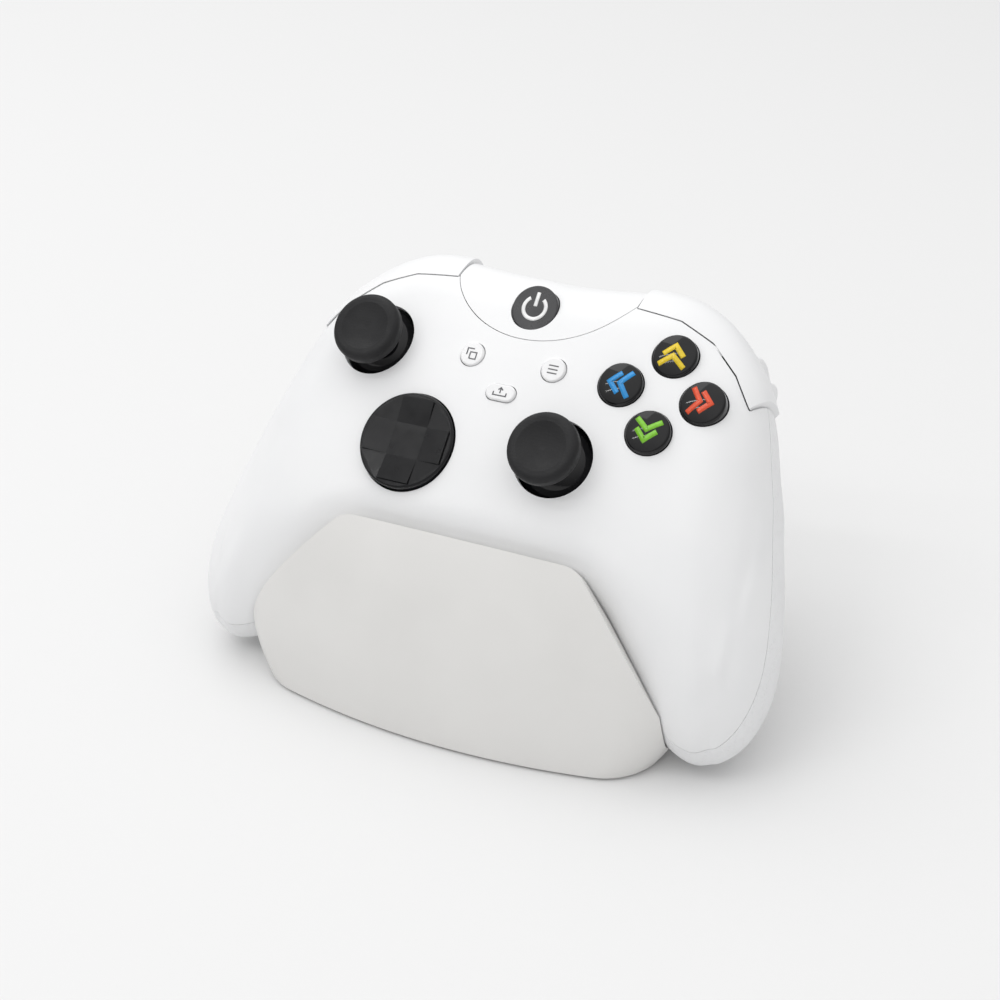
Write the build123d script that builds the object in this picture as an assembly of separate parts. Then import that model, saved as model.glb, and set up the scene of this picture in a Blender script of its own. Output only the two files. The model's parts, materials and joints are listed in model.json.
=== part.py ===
from build123d import *
import math
import os

import numpy as np

# A wireless game controller standing in a charging dock.  Controller pieces are drawn in the
# controller's own frame (X right, Y up along the face, Z out of the face, origin on the face in
# line with the direction pad) and then placed on the stand.  The stand is drawn in the world
# frame: X right, Y towards the back, Z up, origin at the centre of the foot pad's underside.

# Pose of the controller on the stand
TILT = 42.3
FACE_Y = -6.0
FACE_HEIGHT = 62.0
PLACE = Pos(0, FACE_Y, FACE_HEIGHT) * Rot(TILT, 0, 0)

# Plan outline of the right half of the controller, from the top centre round to the notch
OUTLINE_HALF = [
    (0.0, 51.6), (13.0, 52.0), (26.0, 53.0), (36.0, 52.2), (45.0, 48.2), (52.0, 42.4),
    (57.6, 35.4), (61.6, 27.0), (65.2, 16.5), (69.0, 4.5), (72.8, -9.0), (75.8, -22.5),
    (76.8, -33.5), (75.4, -42.5), (71.8, -49.4), (67.0, -52.8), (61.8, -53.4), (56.4, -51.2),
    (51.0, -46.8), (45.8, -41.0), (40.6, -35.2), (35.0, -29.6), (28.0, -26.4), (18.0, -25.5),
    (0.0, -25.5),
]
OUTLINE_SAMPLES = 720
SECTION_POINTS = 40
SECTION_COUNT = 18
END_SECTION = 0.55

# Thickness of the controller
CROWN_X = 0.0014
CROWN_Y = 0.003
CROWN_MIDDLE = 5.0
WAIST_Z = -25.4
WAIST_SLOPE = 0.139
WAIST_BEND = 0.00119
SEAM_Z = -19.0
SEAM_SLOPE = 0.08
BACK_FLAT_Z = -38.0
BACK_GRIP_Z = -45.0
BACK_GRIP_X = 46.0
GRIP_END_Y = -16.0
GRIP_END_RISE = 0.009
EDGE_POWER = 2.15
FRONT_ROUND = (13.0, 22.0)
BACK_ROUND = (17.0, 19.0)
ROUND_CHANGE_X = 50.0
ROUND_CHANGE_Y = 8.0
ROUND_CHANGE_HEIGHT = 7.0
CHANGE_WIDTH = 5.0

# Shells
WALL = 2.2
SEAM_GAP = 0.2
MOVING_GAP = 0.35
FAR = 200.0

# Face layout
LEFT_STICK = (-38.2, 24.9)
RIGHT_STICK = (17.9, 3.7)
DPAD = (-19.7, 0.0)
FACE_BUTTONS = (38.2, 24.9)
FACE_BUTTON_STEP = 10.1
VIEW_BUTTON = (-10.9, 25.0)
MENU_BUTTON = (10.9, 25.0)
SHARE_BUTTON = (0.0, 16.6)
GUIDE_BUTTON = (0.0, 40.3)

# Buttons
FACE_BUTTON_R = 5.5
SMALL_BUTTON_R = 3.1
SHARE_SIZE = (7.8, 4.2)
GUIDE_R = 5.9
BUTTON_GAP = 0.2
BUTTON_PROUD = 1.3
SMALL_PROUD = 0.7
GUIDE_PROUD = 0.35
FLANGE = 0.7
FLANGE_DEPTH = 7.4
FLANGE_THICKNESS = 1.0
GUIDE_FLANGE_DEPTH = 8.6

# Direction pad
DPAD_R = 12.2
DPAD_ARM = 8.4
DPAD_PROUD = 1.5
DPAD_DISH = 1.5
DPAD_GAP = 0.4
DPAD_SKIRT = 2.6
DPAD_PIVOT_Z = -5.4

# Thumbsticks
STICK_HOLE_R = 9.8
STICK_PIVOT_DEPTH = 11.0
DOME_R = 11.9
DOME_WALL = 1.0
DOME_RIM_ANGLE = 72.0
NECK_R = 4.5
CAP_R = 8.8
CAP_BOTTOM = 15.8
CAP_TOP = 19.8
CAP_DISH_R = 6.2
CAP_DISH_DEPTH = 1.1
MODULE_HALF = 7.0
MODULE_WALL = 1.2
MODULE_TOP = 3.4
PLUNGER_R = 5.5
YOKE_R = 4.4
HUB_R = 3.0
RING_WALL = 0.8
RING_HALF_HEIGHT = 1.3
PIN_R = 0.5
RUNNING_GAP = 0.05

# Bumpers and triggers
BUMPER_INNER_X = 24.5
BUMPER_PROUD = 1.3
BUMPER_REAR_Z = -25.0
BUMPER_LINE = [(24.5, 46.2), (36.0, 45.2), (45.0, 41.4), (52.6, 34.6), (57.6, 27.6)]
BUMPER_OUTER = [(72.0, 53.2), (72.0, 70.0), (24.5, 70.0)]
BRIDGE_ARC = [(24.1, 46.6), (0.0, 31.6)]
TRIGGER_X = (30.0, 50.5)
TRIGGER_PIVOT = (33.0, -29.0)
TRIGGER_PROFILE = [
    (43.5, -26.6), (47.6, -31.0), (48.2, -38.0), (46.6, -45.0), (47.2, -51.5), (44.6, -53.4),
    (40.4, -48.0), (35.4, -42.2), (30.0, -37.0), (28.6, -31.0), (31.0, -27.0), (37.0, -26.4),
]
TRIGGER_PIN_R = 1.2
TRIGGER_SLOT = [(23.5, -26.0), (60.0, -26.0), (60.0, -60.0), (23.5, -60.0)]

# Inside the controller
BOARD_TOP = -18.7
BOARD_THICKNESS = 1.6
LOWER_BOARD_TOP = -20.6
DOOR_HALF_X = 27.5
DOOR_Y = (-16.0, 27.0)
DOOR_CORNER = 4.0
PACK_SIZE = (52.0, 29.0, 11.5)
PACK_CENTRE = (0.0, 5.5, -30.0)
TRAY_WALL = 1.2
CONTACT_X = 6.0
CONTACT_Y = -6.0
PAD_R = 2.2
MOTOR_CENTRE = (58.5, -22.0, -25.0)
MOTOR_R = 6.5
MOTOR_LENGTH = 14.0
ROTOR_R = 9.0
ROTOR_THICKNESS = (7.5, 5.0)
MOTOR_SHAFT_R = 1.0
TRIGGER_MOTOR = (20.5, 38.0, -29.0)
TRIGGER_MOTOR_R = 3.6
TRIGGER_MOTOR_LENGTH = 9.0
TRIGGER_ROTOR_R = 3.6
TRIGGER_ROTOR_THICKNESS = 2.6

# Stand
DOCK_GAP = 0.45
STAND_WALL = 2.4
FRONT_CURVE_R = 96.0
FRONT_CURVE_CENTRE = (54.6, -13.4)
FRONT_LEVELS = [0.6, 5.0, 11.0, 20.0, 32.0, 45.0, 58.0]
FRONT_RADIUS = (195.0, 560.0)
FRONT_HALF_WIDTH = (57.5, 65.0)
FRONT_FLARE_HEIGHT = 20.0
FRONT_CORNER = 15.0
FRONT_REAR_Y = 36.0
FRONT_TAPER = 22.0
PANEL_TOP_Y = -20.3
PANEL_TOP_X = 31.2
PANEL_SIDE = [(46.2, -36.1), (60.8, -52.8), (84.0, -56.0)]
PANEL_TOP_CORNER = 7.0
REAR_HALF_WIDTH = (48.0, 43.0)
REAR_Y = (-10.0, 41.0)
REAR_TOP = 51.0
REAR_CORNER = 12.0
STAND_BOTTOM = 0.6
STAND_SPLIT_Y = -9.0
PLATE_BOTTOM = 0.8
PLATE_THICKNESS = 2.2
PLATE_GAP = 0.15
BELOW = 1.8
PAD_INSET = 6.0


def crown(x, y):
    """Height of the controller's front face."""
    return -CROWN_X * x * x - CROWN_Y * (y - CROWN_MIDDLE) ** 2


def waist(y):
    """Height of the controller's widest line."""
    return WAIST_Z + WAIST_SLOPE * y + WAIST_BEND * y * y


def change(x, middle):
    """Smooth step from 0 near the centre to 1 in the grips."""
    return 1 / (1 + np.exp(-(np.abs(x) - middle) / CHANGE_WIDTH))


def back(x, y):
    """Height of the controller's back: flat behind the battery, deeper along the grips."""
    grip = BACK_GRIP_Z + GRIP_END_RISE * np.maximum(GRIP_END_Y - y, 0) ** 2
    share = change(x, BACK_GRIP_X)
    return (1 - share) * BACK_FLAT_Z + share * grip


def sample_outline():
    """Points along the closed plan outline."""
    half = [Vector(x, y) for x, y in OUTLINE_HALF]
    other = [Vector(-p.X, p.Y) for p in reversed(half[1:-1])]
    edge = Edge.make_spline(half + other, periodic=True)
    return np.array([tuple(edge @ (k / OUTLINE_SAMPLES))[:2] for k in range(OUTLINE_SAMPLES)])


OUTLINE = sample_outline()
OUTLINE_NEXT = np.roll(OUTLINE, -1, axis=0)
TIP = OUTLINE[int(np.argmax(OUTLINE[:, 0]))]


def depth_inside(x, y):
    """Signed distance from the plan outline, positive inside."""
    here = np.stack([x, y], 1)[:, None, :]
    along = OUTLINE_NEXT - OUTLINE
    t = np.clip(((here - OUTLINE) * along).sum(2) / (along ** 2).sum(1), 0, 1)
    nearest = OUTLINE + t[..., None] * along
    distance = np.sqrt(((here - nearest) ** 2).sum(2)).min(1)
    straddles = (OUTLINE[:, 1] > here[..., 1]) != (OUTLINE_NEXT[:, 1] > here[..., 1])
    slope = np.divide(along[:, 0], along[:, 1], out=np.zeros(len(along)), where=along[:, 1] != 0)
    crossing = OUTLINE[:, 0] + slope * (here[..., 1] - OUTLINE[:, 1])
    inside = (straddles & (here[..., 0] < crossing)).sum(1) % 2 == 1
    return np.where(inside, distance, -distance)


def span(x, inset):
    """Lowest and highest y of the inset outline at x."""
    ys = np.arange(-62.0, 62.0, 0.25)
    depth = depth_inside(np.full_like(ys, x), ys) - inset
    low = high = int(np.argmax(depth))
    while depth[low - 1] > 0:
        low -= 1
    while depth[high + 1] > 0:
        high += 1
    ends = []
    for inner, outer in ((ys[low], ys[low - 1]), (ys[high], ys[high + 1])):
        for _ in range(30):
            middle = (inner + outer) / 2
            if depth_inside(np.array([x]), np.array([middle]))[0] > inset:
                inner = middle
            else:
                outer = middle
        ends.append((inner + outer) / 2)
    return ends


def edge_profile(depth, radius):
    """Share of the full height reached at a distance in from the edge."""
    t = np.clip(depth / radius, 0, 1)
    return (1 - (1 - t) ** EDGE_POWER) ** (1 / EDGE_POWER)


def body_section(x, inset, lift):
    """Closed ring of points round the controller at x."""
    low, high = span(x, inset)
    y = (low + high) / 2 + (high - low) / 2 * np.cos(np.linspace(0, math.pi, 161))
    xs = np.full_like(y, x)
    depth = np.maximum(depth_inside(xs, y) - inset, 0)
    depth[0] = depth[-1] = 0
    share = change(xs, ROUND_CHANGE_X) / (1 + np.exp((y - ROUND_CHANGE_Y) / ROUND_CHANGE_HEIGHT))
    front_r = FRONT_ROUND[0] + share * (FRONT_ROUND[1] - FRONT_ROUND[0]) - inset
    back_r = BACK_ROUND[0] + share * (BACK_ROUND[1] - BACK_ROUND[0]) - inset
    level = waist(y)
    front_z = level + (crown(xs, y) - lift - level) * edge_profile(depth, front_r)
    back_z = level + (back(xs, y) + lift - level) * edge_profile(depth, back_r)
    front = np.stack([xs, y, front_z], 1)
    rear = np.stack([xs, y, back_z], 1)[::-1]
    ring = np.concatenate([front[:-1], rear])
    length = np.concatenate([[0], np.cumsum(np.linalg.norm(np.diff(ring, axis=0), axis=1))])
    middle = length[len(front) - 1]
    half = SECTION_POINTS // 2
    places = np.concatenate([
        np.linspace(0, middle, half, endpoint=False),
        np.linspace(middle, length[-1], half, endpoint=False),
    ])
    return [Vector(*[float(np.interp(p, length, ring[:, k])) for k in range(3)]) for p in places]


def controller_body(inset, lift=None):
    """The whole controller as one smooth solid, inset in plan and in thickness."""
    lift = inset if lift is None else lift
    end = float(TIP[0]) - inset
    steps = math.pi / 2 / (SECTION_COUNT + END_SECTION)
    right = [end * math.sin(steps * k) for k in range(1, SECTION_COUNT + 1)]
    stations = [-x for x in reversed(right)] + [0.0] + right
    even = [k / SECTION_POINTS for k in range(SECTION_POINTS + 1)]
    rings = [
        Wire([Edge.make_spline(body_section(x, inset, lift), periodic=True, parameters=even)])
        for x in stations
    ]
    y = float(TIP[1])
    return Solid.make_loft([Vertex(-end, y, waist(y))] + rings + [Vertex(end, y, waist(y))])


def group(*shapes):
    """One shape holding every solid, with crumbs left out."""
    return Compound([s for shape in shapes for s in shape.solids() if s.volume > 0.3])


def largest(shape):
    return max(shape.solids(), key=lambda solid: solid.volume)


def mirrored(shape):
    return mirror(shape, about=Plane.YZ)


def face_of(*curves):
    """Face inside a closed chain of curves."""
    return make_face(Curve() + list(curves))


def prism(points, low, high):
    """Straight prism on a plan polygon."""
    return extrude(Pos(0, 0, low) * make_face(Polyline(*points, close=True)), high - low)


def rod(x, y, radius, low, high):
    """Cylinder along Z."""
    return Pos(x, y, low) * Cylinder(radius, high - low, align=(Align.CENTER, Align.CENTER, Align.MIN))


def rod_x(centre, radius, low, high):
    """Cylinder along X through (y, z)."""
    middle = ((low + high) / 2, centre[0], centre[1])
    return Pos(*middle) * Rot(0, 90, 0) * Cylinder(radius, high - low)


def rod_y(centre, radius, low, high):
    """Cylinder along Y through (x, z)."""
    middle = (centre[0], (low + high) / 2, centre[1])
    return Pos(*middle) * Rot(90, 0, 0) * Cylinder(radius, high - low)


def slab(x, y, z):
    """Box between two limits on each axis."""
    size = (x[1] - x[0], y[1] - y[0], z[1] - z[0])
    return Pos(sum(x) / 2, sum(y) / 2, sum(z) / 2) * Box(*size)


def face_at(place):
    return float(crown(*place))


def above_seam(gap):
    """Half space on the face's side of the seam."""
    plane = Plane((0, 0, SEAM_Z + gap), x_dir=(1, 0, 0), z_dir=(0, -SEAM_SLOPE, 1))
    return plane.location * Box(2 * FAR, 2 * FAR, FAR, align=(Align.CENTER, Align.CENTER, Align.MIN))


def below_seam(gap):
    plane = Plane((0, 0, SEAM_Z - gap), x_dir=(1, 0, 0), z_dir=(0, -SEAM_SLOPE, 1))
    return plane.location * Box(2 * FAR, 2 * FAR, FAR, align=(Align.CENTER, Align.CENTER, Align.MAX))


def bumper_zone(grow, low):
    """Right bumper's share of the shell."""
    outline = make_face(Polyline(*BUMPER_LINE, *BUMPER_OUTER, close=True))
    return extrude(Pos(0, 0, low) * offset(outline, grow), FAR)


def bridge_zone(grow, low):
    """Bridge's share of the shell, between the bumpers and round the guide button."""
    (x, y), (_, bottom) = BRIDGE_ARC
    curve = ThreePointArc((-x, y), (0, bottom), (x, y))
    rest = Polyline((x, y), (x, 70), (-x, 70), (-x, y))
    return extrude(Pos(0, 0, low) * offset(face_of(curve, rest), grow), FAR)


def cover_zone(gap):
    """Right grip cover's share of the back shell."""
    return prism([(30 + gap, 60), (30 + gap, 45), (44 + gap, -45), (46 + gap, -70), (90, -70), (90, 60)],
                 -FAR, FAR)


def face_button_places():
    x, y = FACE_BUTTONS
    s = FACE_BUTTON_STEP
    return {
        "top_button": (x, y + s), "bottom_button": (x, y - s),
        "left_button": (x - s, y), "right_button": (x + s, y),
    }


def pill(x, y, size, grow, low, high):
    shape = SlotOverall(size[0] + 2 * grow, size[1] + 2 * grow)
    return extrude(Pos(x, y, low) * shape, high - low)


def face_holes():
    """Everything cut through the front case."""
    holes = [rod(*p, STICK_HOLE_R, -FAR / 4, FAR / 4) for p in (LEFT_STICK, RIGHT_STICK)]
    holes.append(rod(*DPAD, DPAD_R + DPAD_GAP, -FAR / 4, FAR / 4))
    for place in face_button_places().values():
        holes.append(rod(*place, FACE_BUTTON_R + BUTTON_GAP, -FAR / 4, FAR / 4))
    for place in (VIEW_BUTTON, MENU_BUTTON):
        holes.append(rod(*place, SMALL_BUTTON_R + BUTTON_GAP, -FAR / 4, FAR / 4))
    holes.append(pill(*SHARE_BUTTON, SHARE_SIZE, BUTTON_GAP, -FAR / 4, FAR / 4))
    return holes


def trigger_slot(grow):
    low, high = TRIGGER_X
    face = make_face(Polyline(*[(y, z) for y, z in TRIGGER_SLOT], close=True))
    plane = Plane((low - grow, 0, 0), x_dir=(0, 1, 0), z_dir=(1, 0, 0))
    return extrude(plane.location * face, high - low + 2 * grow)


def door_zone(grow, low, high):
    x = DOOR_HALF_X + grow
    shape = RectangleRounded(2 * x, DOOR_Y[1] - DOOR_Y[0] + 2 * grow, DOOR_CORNER + grow)
    return extrude(Pos(0, sum(DOOR_Y) / 2, low) * shape, high - low)


def usb_port_cut(grow):
    shape = SlotOverall(9.0 + 2 * grow, 3.3 + 2 * grow)
    return extrude(Plane((0, 40, -21), x_dir=(1, 0, 0), z_dir=(0, 1, 0)).location * shape, 20)


def shells(outer, inner):
    """The controller's outside skin, divided into its mouldings."""
    skin = outer - inner
    front = skin & above_seam(SEAM_GAP / 2)
    front -= bridge_zone(SEAM_GAP, -26)
    for zone in (bumper_zone(MOVING_GAP, -26), mirrored(bumper_zone(MOVING_GAP, -26))):
        front -= zone
    for hole in face_holes():
        front -= hole

    bridge = skin & bridge_zone(0, -26)
    bridge -= rod(*GUIDE_BUTTON, GUIDE_R + BUTTON_GAP, -20, 20)
    bridge -= usb_port_cut(0.2)
    bridge -= rod_y((-12, -21), 1.8, 40, 60)

    rear = skin & below_seam(SEAM_GAP / 2)
    rear -= bridge_zone(SEAM_GAP, -26 - SEAM_GAP)
    for side in (1, -1):
        zone = bumper_zone(MOVING_GAP, BUMPER_REAR_Z - MOVING_GAP)
        slot = trigger_slot(0.5)
        rear -= zone if side > 0 else mirrored(zone)
        rear -= slot if side > 0 else mirrored(slot)
    cover_right = rear & cover_zone(SEAM_GAP / 2)
    cover_left = rear & mirrored(cover_zone(SEAM_GAP / 2))
    middle = rear - cover_zone(-SEAM_GAP / 2) - mirrored(cover_zone(-SEAM_GAP / 2))
    door = middle & door_zone(0, -60, -30)
    middle -= door_zone(SEAM_GAP, -60, -30)
    pads = [rod(side * CONTACT_X, CONTACT_Y, PAD_R, BACK_FLAT_Z, BACK_FLAT_Z + WALL - 0.3) for side in (1, -1)]
    door_plate = largest(door)
    for pad in pads:
        door_plate -= pad
    return {
        "front_case": largest(front), "top_bridge": largest(bridge), "back_case": largest(middle),
        "right_grip_cover": largest(cover_right), "left_grip_cover": largest(cover_left),
        "battery_door": largest(door_plate), "door_contacts": group(*pads),
    }


def bumpers(thick_outer, thick_inner):
    right = largest((thick_outer - thick_inner) & bumper_zone(0, BUMPER_REAR_Z))
    return {"right_bumper": right, "left_bumper": mirrored(right)}


def triggers():
    low, high = TRIGGER_X
    points = [(low, y, z) for y, z in TRIGGER_PROFILE]
    outline = make_face(Spline(*points, periodic=True))
    right = extrude(outline, high - low, dir=(1, 0, 0))
    ends = [e for e in right.edges() if abs(e.center().X - low) < 0.1 or abs(e.center().X - high) < 0.1]
    right = fillet(ends, 1.6)
    right -= rod_x(TRIGGER_PIVOT, TRIGGER_PIN_R + RUNNING_GAP, low - 1, high + 1)
    right = largest(right)
    pins = []
    ears = []
    for side in (1, -1):
        pins.append(rod_x(TRIGGER_PIVOT, TRIGGER_PIN_R, low - 1.8, high + 1.8))
        for x in (low - 1.8, high + 0.6):
            ear = slab((x, x + 1.2), (30.0, 36.0), (-30.8, BOARD_TOP - BOARD_THICKNESS))
            ears.append(ear - rod_x(TRIGGER_PIVOT, TRIGGER_PIN_R, low - 5, high + 5))
    bar = slab((low - 1.8, high + 1.8), (30.0, 31.5), (-22.5, BOARD_TOP - BOARD_THICKNESS))
    frame_right = largest(ears[0] + ears[1] + bar)
    return {
        "right_trigger": right, "left_trigger": mirrored(right),
        "trigger_pins": group(pins[0], mirrored(pins[0])),
        "trigger_brackets": group(frame_right, mirrored(frame_right)),
    }


def press_button(place, radius, proud, round_edge, depth=FLANGE_DEPTH):
    """Round button with a flange that keeps it behind the case."""
    level = face_at(place)
    flange_top = level - depth
    cap = rod(*place, radius, flange_top - FLANGE_THICKNESS, level + proud)
    rim = cap.edges().sort_by(Axis.Z)[-1]
    cap = fillet(rim, round_edge)
    return cap + rod(*place, radius + FLANGE, flange_top - FLANGE_THICKNESS, flange_top)


def buttons():
    made = {}
    for name, place in face_button_places().items():
        made[name] = press_button(place, FACE_BUTTON_R, BUTTON_PROUD, 1.1)
    made["view_button"] = press_button(VIEW_BUTTON, SMALL_BUTTON_R, SMALL_PROUD, 0.5)
    made["menu_button"] = press_button(MENU_BUTTON, SMALL_BUTTON_R, SMALL_PROUD, 0.5)
    made["guide_button"] = press_button(GUIDE_BUTTON, GUIDE_R, GUIDE_PROUD, 0.3, GUIDE_FLANGE_DEPTH)
    level = face_at(SHARE_BUTTON)
    share = pill(*SHARE_BUTTON, SHARE_SIZE, 0, level - FLANGE_DEPTH - FLANGE_THICKNESS, level + SMALL_PROUD)
    share = fillet(share.faces().sort_by(Axis.Z)[-1].edges(), 0.5)
    flange = pill(*SHARE_BUTTON, SHARE_SIZE, 0.7, level - FLANGE_DEPTH - FLANGE_THICKNESS,
                  level - FLANGE_DEPTH)
    made["share_button"] = share + flange
    pairing = rod_y((-12, -21), 1.6, 47.0, 52.2)
    made["pairing_button"] = pairing + rod_y((-12, -21), 2.4, 46.0, 47.0)
    return made


def dpad():
    """Dished round pad with a raised cross, on a two-way pivot."""
    level = face_at(DPAD)
    top = level + DPAD_PROUD
    disc = rod(0, 0, DPAD_R, level - DPAD_SKIRT, top)
    disc = fillet(disc.edges().sort_by(Axis.Z)[-1], 0.6)
    points = [Vector((DPAD_R - 1.2) / math.cos(math.pi / 8), 0, top).rotate(Axis.Z, 22.5 + 45 * k) for k in range(8)]
    hollow = Solid.make_loft([
        Wire.make_polygon(points, close=True), Vertex(0, 0, top - DPAD_DISH),
    ])
    dished = disc - hollow
    arm = DPAD_ARM / 2
    reach = DPAD_R - 1.6
    cross = None
    for turn in range(4):
        side = Plane((0, -arm, 0), x_dir=(1, 0, 0), z_dir=(0, -1, 0))
        shape = make_face(Polyline((0, level - 1), (0, top - 0.7), (arm, top - 0.7), (reach, top + 0.35),
                                   (reach, level - 1), close=True))
        bar = Rot(0, 0, 90 * turn) * extrude(side.location * shape, -DPAD_ARM)
        cross = bar if cross is None else cross + bar
    pad = dished + cross
    socket_r = HUB_R + RING_WALL + 1.4
    stem = rod(0, 0, 2.0, DPAD_PIVOT_Z, level - DPAD_SKIRT + 0.2)
    hub = rod_y((0, DPAD_PIVOT_Z), 1.6, -1.6, 1.6) + rod_y((0, DPAD_PIVOT_Z), PIN_R, -4.2, 4.2)
    pad = pad + stem + hub
    ring = rod(0, 0, socket_r, DPAD_PIVOT_Z - 0.9, DPAD_PIVOT_Z + 0.9)
    ring -= rod(0, 0, socket_r - 1.4, DPAD_PIVOT_Z - 2, DPAD_PIVOT_Z + 2)
    ring -= rod_y((0, DPAD_PIVOT_Z), PIN_R + RUNNING_GAP, -8, 8)
    ring += rod_x((0, DPAD_PIVOT_Z), PIN_R, socket_r - 0.6, socket_r + 1.4)
    ring += rod_x((0, DPAD_PIVOT_Z), PIN_R, -socket_r - 1.4, -socket_r + 0.6)
    base = rod(0, 0, socket_r + 1.8, BOARD_TOP, DPAD_PIVOT_Z + 1.2)
    base -= rod(0, 0, socket_r + 0.4, BOARD_TOP + 1.2, DPAD_PIVOT_Z + 2)
    base -= rod_x((0, DPAD_PIVOT_Z), PIN_R + RUNNING_GAP, -10, 10)
    move = Pos(*DPAD, 0)
    return {
        "dpad": move * largest(pad), "dpad_pivot_ring": move * largest(ring),
        "dpad_pivot_base": move * largest(base),
    }


def stick(place, side):
    """Thumbstick: gimbal in a switch housing, domed skirt and rubber cap."""
    pivot = face_at(place) - STICK_PIVOT_DEPTH
    bottom = BOARD_TOP
    housing = slab((-MODULE_HALF, MODULE_HALF), (-MODULE_HALF, MODULE_HALF), (bottom, pivot + MODULE_TOP))
    inner = MODULE_HALF - MODULE_WALL
    housing -= rod(0, 0, inner, bottom + 1.0, pivot + MODULE_TOP + 1)

    plunger = rod(0, 0, PLUNGER_R, pivot - RING_HALF_HEIGHT, pivot + RING_HALF_HEIGHT)
    plunger -= rod(0, 0, PLUNGER_R - RING_WALL, pivot - 2, pivot + 2)
    plunger -= rod_x((0, pivot), PIN_R + RUNNING_GAP, -8, 8)
    yoke = rod(0, 0, YOKE_R, pivot - RING_HALF_HEIGHT, pivot + RING_HALF_HEIGHT)
    yoke -= rod(0, 0, YOKE_R - RING_WALL, pivot - 2, pivot + 2)
    yoke += rod_x((0, pivot), PIN_R, YOKE_R - RING_WALL / 2, PLUNGER_R)
    yoke += rod_x((0, pivot), PIN_R, -PLUNGER_R, -YOKE_R + RING_WALL / 2)
    yoke -= rod_y((0, pivot), PIN_R + RUNNING_GAP, -8, 8)

    rim = DOME_RIM_ANGLE
    dome = Pos(0, 0, pivot) * (Sphere(DOME_R) - Sphere(DOME_R - DOME_WALL))
    dome &= slab((-20, 20), (-20, 20), (pivot + DOME_R * math.cos(math.radians(rim)), pivot + 20))
    core = rod(0, 0, 1.7, pivot, pivot + DOME_R - 0.4) + rod_y((0, pivot), PIN_R, -YOKE_R, YOKE_R)
    core += Pos(0, 0, pivot) * Sphere(2.2)
    neck = rod(0, 0, NECK_R, pivot + DOME_R - 1.6, pivot + CAP_BOTTOM + 1.2)
    neck = fillet(neck.edges().sort_by(Axis.Z)[0], 0.4)
    shaft = dome + core + neck

    cap = rod(0, 0, CAP_R, pivot + CAP_BOTTOM, pivot + CAP_TOP)
    cap = fillet(cap.edges().sort_by(Axis.Z)[-1], 1.7)
    cap = fillet(cap.edges().sort_by(Axis.Z)[0], 1.0)
    dish_r = (CAP_DISH_R ** 2 + CAP_DISH_DEPTH ** 2) / (2 * CAP_DISH_DEPTH)
    cap -= Pos(0, 0, pivot + CAP_TOP - CAP_DISH_DEPTH + dish_r) * Sphere(dish_r)
    cap -= rod(0, 0, NECK_R, pivot, pivot + CAP_BOTTOM + 1.2)
    move = Pos(*place, 0)
    return {
        f"{side}_stick_housing": move * largest(housing),
        f"{side}_stick_plunger": move * largest(plunger),
        f"{side}_stick_yoke": move * largest(yoke),
        f"{side}_stick_shaft": move * largest(shaft),
        f"{side}_stick_cap": move * largest(cap),
    }


def boards(inner):
    """Circuit boards cut to clear the outline and the triggers."""
    room = controller_slice(inner, BOARD_TOP - BOARD_THICKNESS, BOARD_TOP)
    main = room & slab((-52, 52), (-20, 42), (-60, 0))
    lower = slab((-27, 27), (-18, 30), (LOWER_BOARD_TOP - BOARD_THICKNESS, LOWER_BOARD_TOP))
    membrane = None
    for place in face_button_places().values():
        level = face_at(place) - FLANGE_DEPTH - FLANGE_THICKNESS - 1.8
        pad = rod(*place, 4.4, BOARD_TOP, level)
        membrane = pad if membrane is None else membrane + pad
    x, y = FACE_BUTTONS
    sheet_size = FACE_BUTTON_STEP + 4.0
    membrane += slab((x - sheet_size, x + sheet_size), (y - sheet_size, y + sheet_size),
                     (BOARD_TOP, BOARD_TOP + 0.8))
    studs = []
    for place in (VIEW_BUTTON, MENU_BUTTON, SHARE_BUTTON):
        level = face_at(place) - FLANGE_DEPTH - FLANGE_THICKNESS - 1.2
        studs.append(rod(*place, 1.8, BOARD_TOP, level))
    return {
        "main_board": largest(main), "lower_board": lower,
        "button_membrane": largest(membrane), "switch_studs": group(*studs),
    }


def controller_slice(body, low, high):
    return body & slab((-FAR, FAR), (-FAR, FAR), (low, high))


def battery():
    x, y, z = PACK_CENTRE
    w, h, d = PACK_SIZE
    pack = Pos(x, y, z) * Box(w, h, d)
    pack = fillet(pack.edges().filter_by(Axis.X), 4.0)
    tray = Pos(x, y, z + 1.2) * Box(w + 2 * TRAY_WALL + 0.6, h + 2 * TRAY_WALL + 0.6, d + 1.2)
    tray -= Pos(x, y, z) * Box(w + 0.6, h + 0.6, d + 1.2)
    tray -= slab((-60, 60), (-60, 60), (-60, BACK_FLAT_Z + 4.5))
    return {"battery_pack": pack, "battery_tray": largest(tray)}


def rumble(side, thickness):
    """Grip motor with an off-centre weight on its shaft."""
    x, y, z = MOTOR_CENTRE
    can = rod_y((x, z), MOTOR_R, y - MOTOR_LENGTH / 2, y + MOTOR_LENGTH / 2)
    gap = y - MOTOR_LENGTH / 2 - 1.0
    weight = rod_y((x, z), ROTOR_R, gap - thickness, gap) & slab((0, FAR), (-FAR, FAR), (-FAR, z + 1.6))
    weight += rod_y((x, z), 2.6, gap - thickness, gap)
    shaft = rod_y((x, z), MOTOR_SHAFT_R, gap - thickness, y - MOTOR_LENGTH / 2 + 2)
    can -= rod_y((x, z), MOTOR_SHAFT_R + RUNNING_GAP, y - MOTOR_LENGTH / 2 - 1, y - MOTOR_LENGTH / 2 + 2.2)
    flip = (lambda s: s) if side == "right" else mirrored
    return {
        "grip_motors": flip(largest(can)),
        f"{side}_grip_rotor": flip(largest(weight + shaft)),
    }


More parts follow.
